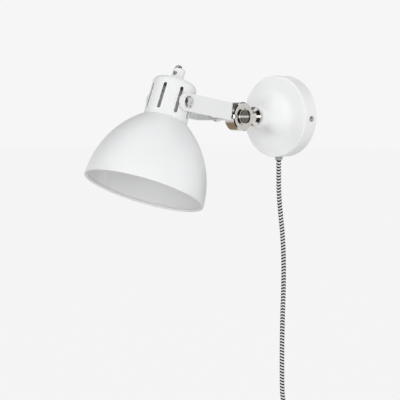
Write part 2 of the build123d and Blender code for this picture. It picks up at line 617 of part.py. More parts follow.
# Shade: one arc from the cup to the mouth, where the wall stands parallel to the axis
def make_shade():
    mouth_r = MOUTH_D / 2
    spread = mouth_r - CUP_R
    arc_r = (spread**2 + SHADE_HEIGHT**2) / (2 * spread)
    centre_x = mouth_r - arc_r
    full = math.asin(SHADE_HEIGHT / arc_r)
    inner_r = arc_r - SHADE_WALL
    ceiling = -CUP_BOTTOM - SHADE_WALL
    inner_full = math.asin((ceiling - MOUTH_Z) / inner_r)

    def on_arc(radius, angle):
        return (centre_x + radius * math.cos(angle), 0, MOUTH_Z + radius * math.sin(angle))

    hole = HOLDER_SKIRT_D / 2 + SEAT
    outline = [
        ThreePointArc(on_arc(arc_r, 0), on_arc(arc_r, full / 2), on_arc(arc_r, full)),
        Line(on_arc(arc_r, full), (hole, 0, -CUP_BOTTOM)),
        Line((hole, 0, -CUP_BOTTOM), (hole, 0, ceiling)),
        Line((hole, 0, ceiling), on_arc(inner_r, inner_full)),
        ThreePointArc(on_arc(inner_r, inner_full), on_arc(inner_r, inner_full / 2), on_arc(inner_r, 0)),
        Line(on_arc(inner_r, 0), on_arc(arc_r, 0)),
    ]
    hem = Pos(mouth_r - HEM_D / 2, 0, MOUTH_Z + HEM_D / 2) * (Plane.XZ * Circle(HEM_D / 2))
    return revolve(make_face(outline), Axis.Z) + revolve(hem, Axis.Z)


parts["shade"] = HEAD * make_shade()

# Lampholder: body clamped to the shade by a ring, cap above it on a threaded pipe through the cup
skirt_low = -CUP_BOTTOM - HOLDER_SKIRT_LENGTH
flange_top = -CUP_BOTTOM + HOLDER_FLANGE_T
shell_d = SOCKET_BORE_D + 2 * SOCKET_SHELL_T
socket_top = skirt_low + SOCKET_DEPTH
holder = turned(
    (0, skirt_low),
    (HOLDER_SKIRT_D / 2, skirt_low),
    (HOLDER_SKIRT_D / 2, -CUP_BOTTOM),
    (HOLDER_FLANGE_D / 2, -CUP_BOTTOM),
    (HOLDER_FLANGE_D / 2, flange_top),
    (HOLDER_BODY_D / 2, flange_top),
    (HOLDER_BODY_D / 2, HOLDER_BODY_TOP),
    (0, HOLDER_BODY_TOP),
)
holder -= round_bar(shell_d + 2 * SEAT, skirt_low, socket_top)
holder -= round_bar(CONTACT_D + 2 * SEAT, socket_top, socket_top + CONTACT_T)
wire_hole = round_bar(WIRE_D + 2 * SNUG, HOLDER_BODY_TOP - WIRE_IN_BLOCK, HOLDER_BODY_TOP)
for side in (-1, 1):
    holder -= Pos(side * BLOCK_POLE / 2, 0, 0) * wire_hole
parts["lampholder_body"] = HEAD * holder
parts["lampholder_shell"] = HEAD * ring(SOCKET_BORE_D, shell_d, skirt_low, socket_top)
parts["lampholder_contact"] = HEAD * round_bar(CONTACT_D, socket_top, socket_top + CONTACT_T)
ring_high = -CUP_BOTTOM - SHADE_WALL
parts["shade_ring"] = HEAD * ring(HOLDER_SKIRT_D + 2 * SEAT, RING_D, ring_high - RING_H, ring_high)

cap_top = HOLDER_BODY_TOP + HOLDER_CAP_H
cap_r = HOLDER_CAP_D / 2
cap_in = cap_r - HOLDER_CAP_WALL
cap_slope = HOLDER_CAP_H / 3
nipple_low = cap_top - NIPPLE_IN_CAP
cap = turned(
    (cap_r, HOLDER_BODY_TOP),
    (cap_r, cap_top - cap_slope),
    (cap_r - cap_slope, cap_top),
    (PIPE_HOLE_D / 2, cap_top),
    (PIPE_HOLE_D / 2, nipple_low),
    (cap_in - cap_slope, nipple_low),
    (cap_in, cap_top - cap_slope - HOLDER_CAP_WALL),
    (cap_in, HOLDER_BODY_TOP),
)
parts["lampholder_cap"] = HEAD * cap
nipple_high = CUP_TOP + GRIP_SOCKET
parts["holder_nipple"] = HEAD * ring(PIPE_BORE, PIPE_D, nipple_low, nipple_high)
cup_ceiling = CUP_TOP - CUP_WALL
parts["nipple_nut"] = HEAD * hex_nut(PIPE_NUT_AF, PIPE_HOLE_D, cup_ceiling - PIPE_NUT_T, cup_ceiling)

# Cord grip on the cup, with a side screw and a bell mouth
grip_top = CUP_TOP + GRIP_H
grip_r = GRIP_D / 2
lead_bore = PIPE_BORE / 2
grip = turned(
    (PIPE_HOLE_D / 2, CUP_TOP),
    (grip_r, CUP_TOP),
    (grip_r, grip_top - GRIP_BEVEL),
    (grip_r - GRIP_BEVEL / 2, grip_top),
    (GRIP_MOUTH_D / 2, grip_top),
    (lead_bore, grip_top - GRIP_MOUTH_DEPTH),
    (lead_bore, nipple_high),
    (PIPE_HOLE_D / 2, nipple_high),
)
grip_screw_frame = Pos(0, 0, CUP_TOP + GRIP_SCREW_UP) * Rot(0, 0, GRIP_SCREW_TURN) * Rot(90, 0, 0)
grip -= grip_screw_frame * round_bar(GRIP_SCREW_D + 2 * SEAT, 0, GRIP_D)
parts["cord_grip"] = HEAD * grip
grip_screw = slotted_head(GRIP_SCREW_HEAD_D, grip_r, grip_r + GRIP_SCREW_HEAD_T, GRIP_SCREW_HEAD_T / 3)
grip_screw += round_bar(GRIP_SCREW_D, CORD_D / 2 + SEAT, grip_r)
parts["grip_screw"] = HEAD * grip_screw_frame * grip_screw

# Lamp lead: out of the grip, over the back of the cup, down into the fork and through the pipe in its web
lead_low = cap_top - HOLDER_CAP_H / 2
lead_over = grip_top + LEAD_RISE
lead_back = LEAD_BACK * math.sqrt(0.5)
fork_room = ARM_LENGTH - CUP_R - WEB_FACE
lead_route = [
    frame_point(HEAD, (0, 0, lead_low)),
    frame_point(HEAD, (0, 0, lead_over)),
    frame_point(HEAD, (-16, 7.5, lead_over)),
    frame_point(HEAD, (-lead_back, lead_back, lead_over - 14)),
    frame_point(HEAD, (-lead_back, lead_back, CORD_D)),
    frame_point(ARM, (-10, -3, WEB_FACE + 0.6 * fork_room)),
    frame_point(ARM, (-2.5, -1.5, WEB_FACE + 0.38 * fork_room)),
    frame_point(ARM, (0, 0, WEB_FACE + 0.2 * fork_room)),
    frame_point(ARM, (0, 0, WEB_FACE)),
]
lead_radii = route_radii(lead_route, CORD_BEND)
lead_radii[0] = LEAD_TURN_R
parts["lamp_lead"], lead_length = tube(lead_route, lead_radii, CORD_D)

holder_routes = []
for side in (-1, 1):
    near = side * WIRE_PAIR / 2
    pole = side * BLOCK_POLE / 2
    drop = lead_low - HOLDER_BODY_TOP
    holder_routes.append(
        [
            frame_point(HEAD, (near, 0, lead_low)),
            frame_point(HEAD, (near, 0, lead_low - drop * WIRE_LEAVE)),
            frame_point(HEAD, (pole, 0, HOLDER_BODY_TOP + drop * WIRE_ARRIVE)),
            frame_point(HEAD, (pole, 0, HOLDER_BODY_TOP - WIRE_IN_BLOCK)),
        ]
    )
parts["holder_wires"] = wire_pair(holder_routes)

# Wires through the elbow, one above and one below the post round the hinge screw. Each pair turns on edge
# where it passes through a half's own rim.
knuckle_routes = []
post_gap = (BOSS_D + CAVITY_D) / 4
turn_in = CAVITY_D / 2 - WIRE_D / 2
rim_out = BARREL_D / 2 + WIRE_D
rim_side = LAP_FACE + CAVITY_DEPTH / 2
for side in (-1, 1):
    near = side * WIRE_PAIR / 2
    knuckle_routes.append(
        [
            frame_point(NECK, (near, 0, HINGE_REACH - WIRE_MEET)),
            frame_point(NECK, (near, 0, HINGE_REACH - WIRE_MEET - 3 * WIRE_D)),
            frame_point(NECK, (rim_side, -near, rim_out)),
            frame_point(NECK, (rim_side, -near, turn_in)),
            frame_point(NECK, (0, -side * post_gap, 0)),
            frame_point(ARM, (-rim_side, near, turn_in)),
            frame_point(ARM, (-rim_side, near, rim_out)),
            frame_point(ARM, (near, 0, WEB_FACE - 3 * WIRE_D)),
            frame_point(ARM, (near, 0, WEB_FACE)),
        ]
    )
parts["knuckle_wires"] = wire_pair(knuckle_routes)

# Cord: hangs from the bush, leans towards the wall, then swings into the coil
COIL_BACK = -COIL_WALL_GAP - CORD_D / 2
COIL_FRONT = COIL_BACK - COIL_PITCH
drop_route = [
    (0, -GLAND_OUT, GLAND_BOTTOM),
    (0, -GLAND_OUT, GLAND_BOTTOM - 20),
    (0.3, -11.7, GLAND_BOTTOM - 44),
    (1.9, -10.2, GLAND_BOTTOM - 68),
    (3.7, -8.2, GLAND_BOTTOM - 94),
    (4.6, -7.0, GLAND_BOTTOM - 124),
    (4.2, -6.6, GLAND_BOTTOM - 158),
    (3.0, -6.8, GLAND_BOTTOM - 192),
    (2.2, -6.8, GLAND_BOTTOM - 228),
    (1.7, -6.2, GLAND_BOTTOM - 266),
    (2.0, -5.4, GLAND_BOTTOM - 303),
    (11.5, COIL_BACK, GLAND_BOTTOM - 328),
    (29.0, COIL_BACK, GLAND_BOTTOM - 345.5),
]
drop_radii = route_radii(drop_route, CORD_BEND)
parts["cord_drop"], drop_length = tube(drop_route, drop_radii, CORD_D)

# Coil: spirals in on the wall side, climbs to the front layer in half a turn, spirals out again
entry_angle = math.radians(COIL_ENTRY)
ray = Vector(math.cos(entry_angle), 0, math.sin(entry_angle))
heading = Vector(math.sin(entry_angle), 0, -math.cos(entry_angle))
coil_start = Vector(*drop_route[-1])
coil_entry = coil_start + heading * CORD_D
coil_centre = coil_entry - ray * COIL_R
HALF_PITCH = COIL_PITCH / 2


def coil_point(centre, radius, turn, out):
    """A point at an angle past the entry, in radians the way the cord runs."""
    angle = entry_angle - turn
    return Vector(centre.X + radius * math.cos(angle), out, centre.Z + radius * math.sin(angle))


coil_edges = [Line(coil_start, coil_entry)]
for k in range(COIL_HALF_TURNS):
    centre = coil_centre - ray * (HALF_PITCH if k % 2 else 0)
    radius = COIL_R - k * HALF_PITCH
    first = (k % 2) * math.pi
    arc = [coil_point(centre, radius, first + step * math.pi / 2, COIL_BACK) for step in range(3)]
    coil_edges.append(ThreePointArc(*arc))
inner_r = COIL_R - COIL_HALF_TURNS * HALF_PITCH
climb_r = math.hypot(inner_r, HALF_PITCH)
climb_mid = coil_point(coil_centre, climb_r, math.pi / 2, (COIL_BACK + COIL_FRONT) / 2)
climb_end = coil_point(coil_centre, inner_r, math.pi, COIL_FRONT)
coil_edges.append(TangentArc(coil_edges[-1] @ 1, climb_mid, tangent=coil_edges[-1] % 1))
coil_edges.append(TangentArc(climb_mid, climb_end, tangent=coil_edges[-1] % 1))
for k in range(1, COIL_HALF_TURNS + 1):
    centre = coil_centre + ray * (HALF_PITCH if k % 2 else 0)
    radius = inner_r + k * HALF_PITCH
    first = (k % 2) * math.pi
    sweep_angle = math.pi if k < COIL_HALF_TURNS else entry_angle
    arc = [coil_point(centre, radius, first + step * sweep_angle / 2, COIL_FRONT) for step in range(3)]
    coil_edges.append(ThreePointArc(*arc))
coil_exit = coil_edges[-1] @ 1
coil_end = coil_exit - Vector(0, 0, PLUG_TAIL)
coil_edges.append(Line(coil_exit, coil_end))
coil_path = Wire(coil_edges)
coil_section = Plane(coil_start, z_dir=heading) * Circle(CORD_D / 2)
parts["cord_coil"] = sweep(coil_section, coil_path)


def least_gap(edges, diameter):
    """Smallest clear space between parts of a coiled tube that lie further than a half turn apart."""
    samples = []
    travelled = 0.0
    for edge in edges:
        count = max(2, round(edge.length / 3))
        samples += [(travelled + edge.length * i / count, edge @ (i / count)) for i in range(count)]
        travelled += edge.length
    apart = 10 * diameter
    gaps = [
        (first - second).length
        for i, (at, first) in enumerate(samples)
        for later, second in samples[i + 1 :]
        if later - at > apart
    ]
    return min(gaps) - diameter


# Tie round the coil where it is two layers of even turns
tie_angle = entry_angle + math.pi / 2
turns_across = COIL_HALF_TURNS // 2
tie_outer = COIL_R - HALF_PITCH + CORD_D / 2 + SNUG
tie_inner_turn = COIL_R - HALF_PITCH - (turns_across - 1) * COIL_PITCH
tie_reach = math.sqrt(tie_inner_turn**2 - (TIE_W / 2 + HALF_PITCH) ** 2)
tie_inner = tie_reach - CORD_D / 2 - SNUG
tie_span = tie_outer - tie_inner
tie_depth = COIL_PITCH + CORD_D + 2 * SNUG
tie_middle = Pos(coil_centre.X, (COIL_BACK + COIL_FRONT) / 2, coil_centre.Z)
tie_frame = tie_middle * Rot(0, -math.degrees(tie_angle), 0)
tie_hole = RectangleRounded(tie_span, tie_depth, TIE_EDGE)
tie_band = RectangleRounded(tie_span + 2 * TIE_T, tie_depth + 2 * TIE_T, TIE_EDGE + TIE_T)
tie = extrude(tie_band - tie_hole, TIE_W / 2, both=True)
parts["coil_tie"] = tie_frame * Pos((tie_outer + tie_inner) / 2, 0, 0) * tie

# Two-pin plug below the coil, with a tapered and ribbed strain relief
PLUG = Pos(coil_end.X, coil_end.Y, coil_end.Z)
relief_outline = [(0, 0), (RELIEF_TOP_D / 2, 0)]
rib_step = RELIEF_LENGTH / (RELIEF_RIBS + 1)
for k in range(1, RELIEF_RIBS + 1):
    rib_z = -k * rib_step
    rib_r = (RELIEF_TOP_D + (RELIEF_D - RELIEF_TOP_D) * k / (RELIEF_RIBS + 1)) / 2
    relief_outline.append((rib_r, rib_z + rib_step / 4))
    relief_outline.append((rib_r - RIB_DEPTH, rib_z))
    relief_outline.append((rib_r, rib_z - rib_step / 4))
relief_outline.append((RELIEF_D / 2, -RELIEF_LENGTH))
relief_outline.append((0, -RELIEF_LENGTH))
parts["plug_relief"] = PLUG * turned(*relief_outline)

plug_high = -RELIEF_LENGTH
plug_low = plug_high - PLUG_H
shoulder_z = plug_high - PLUG_SHOULDER
plug_outline = Polyline(
    (PLUG_TOP_WIDTH / 2, 0, plug_high),
    (PLUG_WIDTH / 2, 0, shoulder_z),
    (PLUG_WIDTH / 2, 0, plug_low),
    (-PLUG_WIDTH / 2, 0, plug_low),
    (-PLUG_WIDTH / 2, 0, shoulder_z),
    (-PLUG_TOP_WIDTH / 2, 0, plug_high),
    close=True,
)
plug = extrude(make_face(plug_outline), PLUG_T / 2, both=True)
plug = fillet(plug.edges().filter_by(Axis.Y).group_by(Axis.Z)[1], PLUG_EDGE)
plug = chamfer(plug.faces().filter_by(Axis.Y).edges(), PLUG_EDGE / 2)
pin_hole = round_bar(PIN_NECK_D + 2 * SEAT, plug_low, plug_low + PIN_ROOT)
pin_tip = PIN_D / 5
pin_low = plug_low - PIN_LENGTH
pin = turned(
    (0, pin_low),
    (PIN_D / 2 - pin_tip, pin_low),
    (PIN_D / 2, pin_low + pin_tip),
    (PIN_D / 2, plug_low - PIN_NECK),
    (PIN_NECK_D / 2, plug_low - PIN_NECK),
    (PIN_NECK_D / 2, plug_low + PIN_ROOT),
    (0, plug_low + PIN_ROOT),
)
pins = []
for side in (-1, 1):
    place = Pos(side * PIN_SPACING / 2, 0, 0)
    plug -= place * pin_hole
    pins.append(PLUG * place * pin)
parts["plug_body"] = PLUG * plug
parts["plug_pins"] = group(pins)

# Written out one file per piece, with the cord's measures
os.makedirs("parts", exist_ok=True)
for name, piece in parts.items():
    export_step(piece, f"parts/{name}.step")

section = math.pi * CORD_D**2 / 4
print("cord drop arc radii", [round(r) for r in drop_radii])
print("lamp lead arc radii", [round(r, 1) for r in lead_radii], "length", round(lead_length))
print("volume against section times length")
print("drop", round(parts["cord_drop"].volume / section / drop_length, 4))
print("lead", round(parts["lamp_lead"].volume / section / lead_length, 4))
print("coil", round(parts["cord_coil"].volume / section / coil_path.length, 4))
print("coil least gap to itself", round(least_gap(coil_edges, CORD_D), 2))
print("cord length", round(drop_length + coil_path.length), "of which coil", round(coil_path.length))
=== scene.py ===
import json
import math

import bmesh
import bpy
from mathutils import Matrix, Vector


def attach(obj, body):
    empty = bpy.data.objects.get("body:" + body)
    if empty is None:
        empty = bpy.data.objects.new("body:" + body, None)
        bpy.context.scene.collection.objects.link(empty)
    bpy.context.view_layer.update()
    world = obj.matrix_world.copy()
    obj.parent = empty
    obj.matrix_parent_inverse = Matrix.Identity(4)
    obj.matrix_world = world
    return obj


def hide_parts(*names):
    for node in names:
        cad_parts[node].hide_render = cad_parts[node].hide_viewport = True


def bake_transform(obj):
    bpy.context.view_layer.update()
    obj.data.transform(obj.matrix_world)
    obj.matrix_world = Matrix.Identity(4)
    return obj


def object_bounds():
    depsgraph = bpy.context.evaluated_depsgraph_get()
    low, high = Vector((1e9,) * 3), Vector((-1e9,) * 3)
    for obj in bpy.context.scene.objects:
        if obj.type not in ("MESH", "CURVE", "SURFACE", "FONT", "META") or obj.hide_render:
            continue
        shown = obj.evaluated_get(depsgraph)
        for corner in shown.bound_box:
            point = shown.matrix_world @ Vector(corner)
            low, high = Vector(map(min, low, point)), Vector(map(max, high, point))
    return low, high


# Looks of the plug-in wall lamp. Metres, +Z up, wall plane at Y = 0, the lamp stands out towards -Y.
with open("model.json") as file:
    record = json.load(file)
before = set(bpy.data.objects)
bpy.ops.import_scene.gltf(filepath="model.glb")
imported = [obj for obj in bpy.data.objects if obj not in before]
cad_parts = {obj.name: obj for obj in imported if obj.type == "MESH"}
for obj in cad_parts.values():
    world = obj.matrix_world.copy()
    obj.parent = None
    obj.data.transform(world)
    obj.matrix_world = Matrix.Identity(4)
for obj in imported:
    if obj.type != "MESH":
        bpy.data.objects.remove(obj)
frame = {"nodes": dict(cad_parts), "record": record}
cad_low, cad_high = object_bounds()
nodes = frame["nodes"]
scene = bpy.context.scene
scene.view_settings.view_transform = "Standard"
MM = 0.001

# Camera, at the photograph's angle
CAM_AZIMUTH = math.radians(44.45)
CAM_ELEVATION = math.radians(3.91)
CAM_DISTANCE = 1.5
CAM_LENS = 116.1
CAM_SENSOR = 36.0
CAM_AIM = Vector((0.0, -0.150, 0.0))
CAM_RIGHT = -0.00113
CAM_UP = -0.09681

cam_back = Vector((
    math.sin(CAM_AZIMUTH) * math.cos(CAM_ELEVATION),
    -math.cos(CAM_AZIMUTH) * math.cos(CAM_ELEVATION),
    math.sin(CAM_ELEVATION),
))
cam_right = Vector((math.cos(CAM_AZIMUTH), math.sin(CAM_AZIMUTH), 0.0))
cam_up = cam_back.cross(cam_right)
cam_data = bpy.data.cameras.new("camera")
cam_data.lens = CAM_LENS
cam_data.sensor_width = CAM_SENSOR
cam_data.clip_start = 0.05
cam_data.clip_end = 50.0
camera = bpy.data.objects.new("camera", cam_data)
camera.location = CAM_AIM + cam_right * CAM_RIGHT + cam_up * CAM_UP + cam_back * CAM_DISTANCE
camera.rotation_mode = "QUATERNION"
camera.rotation_quaternion = (-cam_back).to_track_quat("-Z", "Y")
scene.collection.objects.link(camera)
scene.camera = camera


# Small helpers for materials
class Nodes:
    """A material's node tree, built by short calls."""

    def __init__(self, name):
        self.material = bpy.data.materials.new(name)
        self.material.use_nodes = True
        self.tree = self.material.node_tree
        self.shader = self.tree.nodes["Principled BSDF"]

    def add(self, kind, **settings):
        node = self.tree.nodes.new(kind)
        for key, value in settings.items():
            setattr(node, key, value)
        return node

    def link(self, source, target):
        self.tree.links.new(source, target)

    def math(self, operation, first, second=0.0):
        node = self.add("ShaderNodeMath", operation=operation)
        for socket, value in zip(node.inputs, (first, second)):
            if isinstance(value, (int, float)):
                socket.default_value = value
            else:
                self.link(value, socket)
        return node.outputs[0]

    def noise(self, vector, scale, detail, roughness=0.5):
        node = self.add("ShaderNodeTexNoise")
        node.inputs["Scale"].default_value = scale
        node.inputs["Detail"].default_value = detail
        node.inputs["Roughness"].default_value = roughness
        self.link(vector, node.inputs["Vector"])
        return node.outputs["Fac"]

    def spread(self, value, low, high, start, end):
        node = self.add("ShaderNodeMapRange")
        self.link(value, node.inputs["Value"])
        node.inputs["From Min"].default_value = start
        node.inputs["From Max"].default_value = end
        node.inputs["To Min"].default_value = low
        node.inputs["To Max"].default_value = high
        return node.outputs["Result"]

    def mix(self, factor, first, second):
        node = self.add("ShaderNodeMix", data_type="RGBA")
        self.link(factor, node.inputs[0])
        for socket, value in zip((node.inputs[6], node.inputs[7]), (first, second)):
            if isinstance(value, tuple):
                socket.default_value = (*value, 1.0)
            else:
                self.link(value, socket)
        return node.outputs[2]

    def bump(self, height, strength, distance):
        node = self.add("ShaderNodeBump")
        node.inputs["Strength"].default_value = strength
        node.inputs["Distance"].default_value = distance
        self.link(height, node.inputs["Height"])
        return node.outputs["Normal"]

    def place(self):
        return self.add("ShaderNodeTexCoord").outputs["Object"]

    def set(self, **values):
        for key, value in values.items():
            self.shader.inputs[key.replace("_", " ")].default_value = value

    def colour(self, socket):
        self.link(socket, self.shader.inputs["Base Color"])

    def rough(self, socket):
        self.link(socket, self.shader.inputs["Roughness"])

    def normal(self, socket):
        self.link(socket, self.shader.inputs["Normal"])


NOISE_LOW, NOISE_HIGH = 0.3, 0.7  # where most of a noise's values lie
COAT_CLOUD = 18.0  # scale of a coat's tone changes
COAT_SHEEN = 60.0  # scale of its gloss changes
PEEL_GRAIN = 0.3  # share of the finer of its two surface grains
PLATE_CLOUD = 90.0  # scale of a metal's tone changes


def coated(name, tone, deep, rough, peel_scale, peel_depth):
    """Smooth coat over metal or moulded plastic: slight tone changes and a fine uneven surface."""
    m = Nodes(name)
    place = m.place()
    cloud = m.noise(place, COAT_CLOUD, 3.0)
    m.colour(m.mix(m.spread(cloud, 0.0, 1.0, NOISE_LOW, NOISE_HIGH), tone, deep))
    sheen = m.noise(place, COAT_SHEEN, 2.0)
    m.rough(m.spread(sheen, rough - 0.04, rough + 0.05, NOISE_LOW, NOISE_HIGH))
    fine = m.noise(place, peel_scale, 2.0)
    grain = m.noise(place, peel_scale * 4.0, 1.0)
    height = m.math("ADD", fine, m.math("MULTIPLY", grain, PEEL_GRAIN))
    m.normal(m.bump(height, 0.5, peel_depth))
    return m


def metal(name, tone, deep, rough, line_scale, line_depth, stretch):
    """Plated or drawn metal: fine lines one way, cloudy sheen."""
    m = Nodes(name)
    m.set(Metallic=1.0)
    place = m.place()
    mapping = m.add("ShaderNodeMapping")
    mapping.inputs["Scale"].default_value = stretch
    m.link(place, mapping.inputs["Vector"])
    lines = m.noise(mapping.outputs["Vector"], line_scale, 3.0, 0.6)
    cloud = m.noise(place, PLATE_CLOUD, 3.0)
    m.colour(m.mix(m.spread(cloud, 0.0, 1.0, 0.35, 0.65), tone, deep))
    m.rough(m.spread(lines, rough * 0.6, rough * 1.5, NOISE_LOW, NOISE_HIGH))
    m.normal(m.bump(lines, 0.4, line_depth))
    return m


enamel = coated("white_enamel", (0.86, 0.86, 0.855), (0.845, 0.845, 0.84), 0.36, 700.0, 0.00004)
enamel.set(Coat_Weight=0.15, Coat_Roughness=0.3)
# Dark grey for the cup's inner faces: painted shade, so that the vents show dark
cup_inside_shade = coated("painted_shade_cup_inside", (0.20, 0.20, 0.20), (0.17, 0.17, 0.17), 0.5, 900.0, 0.00004)
chrome = metal(
    "bright_nickel", (0.74, 0.715, 0.68), (0.68, 0.655, 0.62), 0.09, 900.0, 0.00001, (1.0, 1.0, 0.2),
)
dark_steel = metal(
    "dark_steel", (0.22, 0.21, 0.18), (0.16, 0.155, 0.135), 0.2, 900.0, 0.00002, (1.0, 1.0, 0.2),
)
pale_steel = metal("pale_steel", (0.90, 0.89, 0.87), (0.82, 0.81, 0.79), 0.3, 900.0, 0.00002, (1.0, 0.2, 1.0))
zinc = metal("zinc_steel", (0.60, 0.61, 0.63), (0.50, 0.51, 0.54), 0.34, 1200.0, 0.00002, (0.3, 1.0, 1.0))
brass = metal("brass", (0.80, 0.62, 0.30), (0.72, 0.53, 0.24), 0.22, 1500.0, 0.00002, (1.0, 1.0, 0.15))
black_plastic = coated("black_plastic", (0.028, 0.028, 0.03), (0.04, 0.04, 0.042), 0.45, 2600.0, 0.00003)
rubber = coated("black_rubber", (0.022, 0.022, 0.024), (0.032, 0.032, 0.034), 0.68, 1800.0, 0.00005)
white_plastic = coated("white_plastic", (0.84, 0.84, 0.81), (0.80, 0.80, 0.765), 0.42, 1500.0, 0.00003)
grey_plastic = coated("clear_grey_plastic", (0.78, 0.79, 0.81), (0.70, 0.71, 0.73), 0.24, 1500.0, 0.00003)
grey_plastic.set(Transmission_Weight=0.6)
sheath = coated("wire_sheath", (0.24, 0.15, 0.09), (0.20, 0.12, 0.075), 0.4, 1500.0, 0.00002)

# Textile braid: zigzag bands round the cord, with the single yarns as relief
BRAID_PERIOD = 3.8 * MM  # one dark and one light band
BRAID_WAVES = 2  # zigzags round the cord
BRAID_SLOPE = -0.5  # rise of a zigzag, in periods
BAND_EDGE = (0.25, 0.30)  # where dark turns to light, in periods from a dark band's middle
BAND_WOBBLE = 0.14  # unevenness of that edge, in periods
WOBBLE_SCALE = 900.0
YARNS = 4.0  # yarns in a period
STRANDS = 24.0  # strands round the cord
FUZZ_SCALE = 5000.0
YARN_DEPTH = 0.12 * MM


def braid_material():
    """Dark and light yarn, by the tube's coordinates round and along the cord."""
    m = Nodes("textile_braid")
    split = m.add("ShaderNodeSeparateXYZ")
    m.link(m.add("ShaderNodeUVMap", uv_map="along").outputs["UV"], split.inputs["Vector"])
    around, along = split.outputs["X"], split.outputs["Y"]
    wave = m.math("PINGPONG", m.math("MULTIPLY", around, 2.0 * BRAID_WAVES), 1.0)
    phase = m.math("ADD", along, m.math("MULTIPLY", wave, BRAID_SLOPE))
    wobble = m.noise(m.place(), WOBBLE_SCALE, 2.0)
    phase = m.math("ADD", phase, m.math("MULTIPLY", m.math("SUBTRACT", wobble, 0.5), BAND_WOBBLE))
    band = m.math("PINGPONG", phase, 0.5)
    light = m.spread(band, 0.0, 1.0, *BAND_EDGE)
    yarn = m.math("PINGPONG", m.math("MULTIPLY", phase, YARNS), 0.5)
    strand = m.math("PINGPONG", m.math("MULTIPLY", around, STRANDS), 0.5)
    fuzz = m.noise(m.place(), FUZZ_SCALE, 2.0)
    tone = m.mix(fuzz, (0.004, 0.004, 0.009), (0.012, 0.011, 0.022))
    pale = m.mix(fuzz, (0.70, 0.70, 0.73), (0.88, 0.88, 0.90))
    m.colour(m.mix(light, tone, pale))
    m.set(Roughness=0.85, Sheen_Weight=0.25, Sheen_Roughness=0.5)
    height = m.math("ADD", yarn, m.math("MULTIPLY", strand, 0.5))
    height = m.math("ADD", height, m.math("MULTIPLY", fuzz, 0.3))
    m.normal(m.bump(height, 0.7, YARN_DEPTH))
    return m


braid = braid_material()

# Cords: a smooth line along the route's points, then a round braided mesh along it
LINE_STEPS = 20  # from one of the route's points to the next


def smooth_line(name, points):
    """Points along a NURBS spline that has the route's points as its control points."""
    curve = bpy.data.curves.new(name, "CURVE")
    curve.dimensions = "3D"
    curve.resolution_u = LINE_STEPS
    spline = curve.splines.new("NURBS")
    spline.points.add(len(points) - 1)
    for control, point in zip(spline.points, points):
        control.co = (*point, 1.0)
    spline.order_u = 3
    spline.use_endpoint_u = True
    carrier = bpy.data.objects.new(name, curve)
    line = bpy.data.meshes.new_from_object(carrier)
    found = [v.co.copy() for v in line.vertices]
    bpy.data.objects.remove(carrier)
    bpy.data.curves.remove(curve)
    bpy.data.meshes.remove(line)
    return found


CORD_D = 6.0 * MM
CORD_SIDES = 20
CORD_RELIEF = 0.14 * MM  # depth of the zigzag
BRAID_TWIST = 9.0  # radians in a metre of cord
SAME_POINT = 1e-6


def braided_tube(name, line, first_band):
    """Closed tube along a line, with the braid's zigzag as a low relief and coordinates for its pattern."""
    sides = CORD_SIDES
    line = [p for i, p in enumerate(line) if i == 0 or (p - line[i - 1]).length > SAME_POINT]
    tangents = []
    for i in range(len(line)):
        ahead = line[min(i + 1, len(line) - 1)]
        behind = line[max(i - 1, 0)]
        tangents.append((ahead - behind).normalized())
    side = tangents[0].orthogonal().normalized()
    travelled = 0.0
    vertices, alongs = [], []
    for i, (point, tangent) in enumerate(zip(line, tangents)):
        if i:
            turn = tangents[i - 1].rotation_difference(tangent)
            side = turn @ side
            side = (side - tangent * side.dot(tangent)).normalized()
            travelled += (point - line[i - 1]).length
        other = tangent.cross(side)
        along = first_band + travelled / BRAID_PERIOD
        alongs.append(along)
        for k in range(sides):
            share = k / sides
            wave = abs((share * 2 * BRAID_WAVES + 1) % 2 - 1)
            band = abs((along + wave * BRAID_SLOPE) % 1 - 0.5) * 2
            radius = CORD_D / 2 - CORD_RELIEF * (1 - band)
            angle = 2 * math.pi * share + BRAID_TWIST * travelled
            vertices.append(point + side * (radius * math.cos(angle)) + other * (radius * math.sin(angle)))
    faces, corners = [], []
    for i in range(len(line) - 1):
        for k in range(sides):
            nxt = (k + 1) % sides
            faces.append((i * sides + k, i * sides + nxt, (i + 1) * sides + nxt, (i + 1) * sides + k))
            left, right = k / sides, (k + 1) / sides
            corners += [(left, alongs[i]), (right, alongs[i]), (right, alongs[i + 1]), (left, alongs[i + 1])]
    last = (len(line) - 1) * sides
    faces.append(tuple(reversed(range(sides))))
    corners += [(k / sides, alongs[0]) for k in reversed(range(sides))]
    faces.append(tuple(range(last, last + sides)))
    corners += [(k / sides, alongs[-1]) for k in range(sides)]
    mesh = bpy.data.meshes.new(name)
    mesh.from_pydata(vertices, [], faces)
    uv = mesh.uv_layers.new(name="along")
    for item, value in zip(uv.data, corners):
        item.uv = value
    mesh.polygons.foreach_set("use_smooth", [True] * len(faces))
    mesh.materials.append(braid.material)
    mesh.update()
    tube = bpy.data.objects.new(name, mesh)
    scene.collection.objects.link(tube)
    return tube


# Mains cord: its route, in millimetres, down from the gland and into a flat coil of two layers
GLAND_OUT = 12.0
GLAND_BOTTOM = -54.0
COIL_R = 45.5
COIL_PITCH = 6.5
COIL_HALF_TURNS = 6
COIL_ENTRY = math.radians(45.0)
COIL_BACK = -5.0
COIL_FRONT = COIL_BACK - COIL_PITCH
PLUG_TAIL = 22.0
HALF_TURN_STEPS = 12

